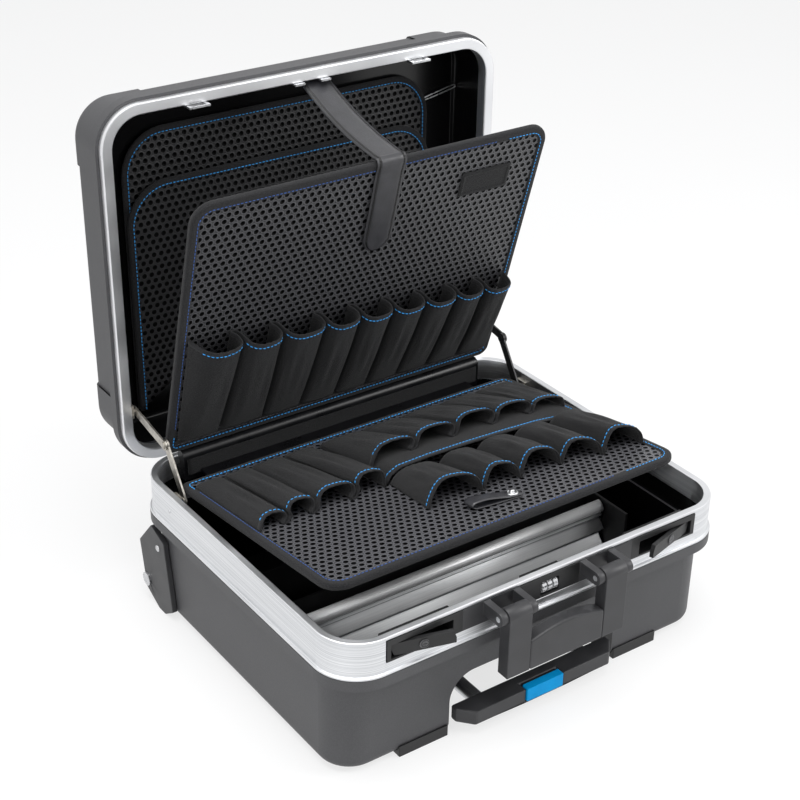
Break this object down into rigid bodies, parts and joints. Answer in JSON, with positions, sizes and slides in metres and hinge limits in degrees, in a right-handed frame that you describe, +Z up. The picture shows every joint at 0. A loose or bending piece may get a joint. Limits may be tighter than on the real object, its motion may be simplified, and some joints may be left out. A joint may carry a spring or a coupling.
{
  "type": "hard tool case",
  "caption": "Wheeled hard tool case with an aluminium frame, open hinged lid with folding stays, two tool pallets with pockets, draw latches, combination lock, carry handle and trolley handle.",
  "frame": {"origin": "centre of the bounding box of the open case, on the surface it rests on", "axes": "+Z up, +X to the right along the front, -Y towards the latches and the carry handle"},
  "size_m": [0.498, 0.5292, 0.5582],
  "materials": {
    "shell": "fine grained matt",
    "black_plastic": "satin",
    "aluminium": "satin anodised",
    "steel": "bright",
    "cloth": "woven",
    "leather": "smooth imitation leather",
    "digits": "gloss",
    "button_blue": "satin",
    "wheel_rubber": "matt"
  },
  "bodies": {
    "base": {"base_shell": "shell", "base_rim": "aluminium", "latch_plate_left": "black_plastic", "latch_plate_right": "black_plastic", "handle_bracket_left": "black_plastic", "handle_bracket_right": "black_plastic", "lock_plate": "black_plastic", "handle_pins": "steel", "front_feet": "black_plastic", "wheel_housing_left": "black_plastic", "wheel_housing_right": "black_plastic", "wheel_axles": "steel", "trolley_outer_tubes": "aluminium", "tube_saddles": "black_plastic", "floor_plate": "black_plastic", "divider_rail": "aluminium", "divider_boards": "black_plastic", "pallet_carrier": "black_plastic", "hinge_base_leaves": "steel", "hinge_pins": "steel", "stay_base_brackets": "steel"},
    "lid": {"lid_shell": "shell", "lid_rim": "aluminium", "hinge_lid_leaves": "steel", "catch_loops": "steel", "document_pocket_rear": "cloth", "document_pocket_front": "cloth", "stay_lid_brackets": "steel", "retaining_strap": "leather"},
    "upper_pallet": {"upper_panel": "black_plastic", "upper_binding": "cloth", "upper_pockets": "cloth", "strap_tab": "leather", "hook_patch": "cloth"},
    "lower_pallet": {"lower_panel": "black_plastic", "lower_binding": "cloth", "lower_pockets_left": "cloth", "lower_pockets_rear": "cloth", "lower_pockets_front": "cloth", "pull_tab": "leather"},
    "latch_left": {"latch_lever_left": "black_plastic", "key_cylinder_left": "steel"},
    "latch_right": {"latch_lever_right": "black_plastic", "key_cylinder_right": "steel"},
    "carry_handle": {"handle_arm_left": "black_plastic", "handle_arm_right": "black_plastic", "handle_grip": "black_plastic"},
    "digit_1": {"digit_wheel_1": "digits"},
    "digit_2": {"digit_wheel_2": "digits"},
    "digit_3": {"digit_wheel_3": "digits"},
    "wheel_l": {"wheel_left": "wheel_rubber"},
    "wheel_r": {"wheel_right": "wheel_rubber"},
    "trolley_middle": {"trolley_mid_tubes": "aluminium"},
    "trolley_handle": {"trolley_inner_tubes": "aluminium", "trolley_grip": "black_plastic"},
    "button": {"trolley_button": "button_blue"},
    "lower_stay_l": {"stay_lower_left": "steel"},
    "lower_stay_r": {"stay_lower_right": "steel"},
    "upper_stay_l": {"stay_upper_left": "steel"},
    "upper_stay_r": {"stay_upper_right": "steel"}
  },
  "joints": [
    {"name": "lid_hinge", "type": "hinge", "parent": "base", "child": "lid", "pos_m": [0, 0.1756, 0.147], "axis": [1, 0, 0], "range_deg": [0, 90], "deforming": ["retaining_strap"]},
    {"name": "upper_pallet_fold", "type": "hinge", "parent": "base", "child": "upper_pallet", "pos_m": [0, 0.1544, 0.182], "axis": [1, 0, 0], "range_deg": [0, 68.6]},
    {"name": "lower_pallet_lift", "type": "hinge", "parent": "base", "child": "lower_pallet", "pos_m": [0, 0.1164, 0.158], "axis": [1, 0, 0], "range_deg": [-50, 0]},
    {"name": "latch_left_swing", "type": "hinge", "parent": "base", "child": "latch_left", "pos_m": [-0.178, -0.2271, 0.144], "axis": [0, 0, -1], "range_deg": [-15, 25]},
    {"name": "latch_right_swing", "type": "hinge", "parent": "base", "child": "latch_right", "pos_m": [0.178, -0.2271, 0.144], "axis": [0, 0, 1], "range_deg": [-15, 25]},
    {"name": "carry_handle_swing", "type": "hinge", "parent": "base", "child": "carry_handle", "pos_m": [0, -0.2556, 0.154], "axis": [-1, 0, 0], "range_deg": [0, 95]},
    {"name": "digit_1_turn", "type": "hinge", "parent": "base", "child": "digit_1", "pos_m": [-0.007, -0.2276, 0.1475], "axis": [1, 0, 0], "continuous": true},
    {"name": "digit_2_turn", "type": "hinge", "parent": "base", "child": "digit_2", "pos_m": [0, -0.2276, 0.1475], "axis": [1, 0, 0], "continuous": true},
    {"name": "digit_3_turn", "type": "hinge", "parent": "base", "child": "digit_3", "pos_m": [0.007, -0.2276, 0.1475], "axis": [1, 0, 0], "continuous": true},
    {"name": "wheel_left_spin", "type": "hinge", "parent": "base", "child": "wheel_l", "pos_m": [-0.221, 0.1584, 0.026], "axis": [1, 0, 0], "continuous": true},
    {"name": "wheel_right_spin", "type": "hinge", "parent": "base", "child": "wheel_r", "pos_m": [0.221, 0.1584, 0.026], "axis": [1, 0, 0], "continuous": true},
    {"name": "trolley_middle_slide", "type": "slide", "parent": "base", "child": "trolley_middle", "axis": [0, -1, 0], "range_m": [0, 0.18]},
    {"name": "trolley_inner_slide", "type": "slide", "parent": "trolley_middle", "child": "trolley_handle", "axis": [0, -1, 0], "range_m": [0, 0.18]},
    {"name": "trolley_button_press", "type": "slide", "parent": "trolley_handle", "child": "button", "axis": [0, 1, 0], "range_m": [0, 0.004], "stiffness_N_per_m": 400},
    {"name": "stay_lower_left_turn", "type": "hinge", "parent": "base", "child": "lower_stay_l", "pos_m": [-0.2255, 0.1004, 0.152], "axis": [1, 0, 0], "range_deg": [0, 105.5]},
    {"name": "stay_lower_right_turn", "type": "hinge", "parent": "base", "child": "lower_stay_r", "pos_m": [0.2255, 0.1004, 0.152], "axis": [1, 0, 0], "range_deg": [0, 105.5]},
    {"name": "stay_upper_left_turn", "type": "hinge", "parent": "lid", "child": "upper_stay_l", "pos_m": [-0.228, 0.1986, 0.216], "axis": [1, 0, 0], "range_deg": [-104.6, 0]},
    {"name": "stay_upper_right_turn", "type": "hinge", "parent": "lid", "child": "upper_stay_r", "pos_m": [0.228, 0.1986, 0.216], "axis": [1, 0, 0], "range_deg": [-104.6, 0]}
  ],
  "couplings": [
    {"joint": "upper_pallet_fold", "follows": "lid_hinge", "ratio": 0.762},
    {"joint": "stay_lower_left_turn", "follows": "lid_hinge", "ratio": 1.17},
    {"joint": "stay_lower_right_turn", "follows": "lid_hinge", "ratio": 1.17},
    {"joint": "stay_upper_left_turn", "follows": "lid_hinge", "ratio": -1.16},
    {"joint": "stay_upper_right_turn", "follows": "lid_hinge", "ratio": -1.16}
  ]
}
